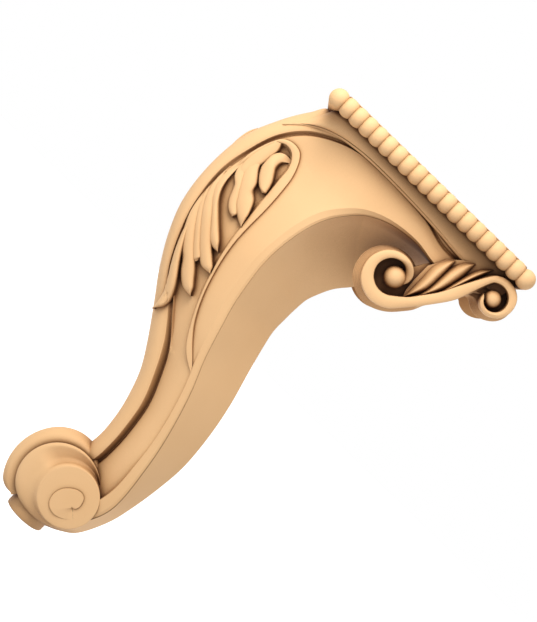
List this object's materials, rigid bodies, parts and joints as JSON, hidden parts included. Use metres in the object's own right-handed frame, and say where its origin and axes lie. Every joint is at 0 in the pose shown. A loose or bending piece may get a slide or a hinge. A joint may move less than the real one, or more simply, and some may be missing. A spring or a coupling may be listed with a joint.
{
  "type": "scroll corbel",
  "caption": "Carved S-curved scroll bracket with a beaded cap plate, leaf-carved knee, scroll foot and scrolled side wings, made to carry a shelf, mantel or top.",
  "frame": {"origin": "middle of the cap plate's flat top face", "axes": "+Z out of the cap's top; -X to the front, where the knee is; +X to the back, where the wings are; Y across, the plane Y = 0 being the plane of symmetry"},
  "size_m": [0.2448, 0.1556, 0.4042],
  "materials": {
    "carved_tan": "smooth carved and sealed, matt pale tan"
  },
  "bodies": {
    "root": {"scroll_corbel": "carved_tan"}
  },
  "joints": []
}
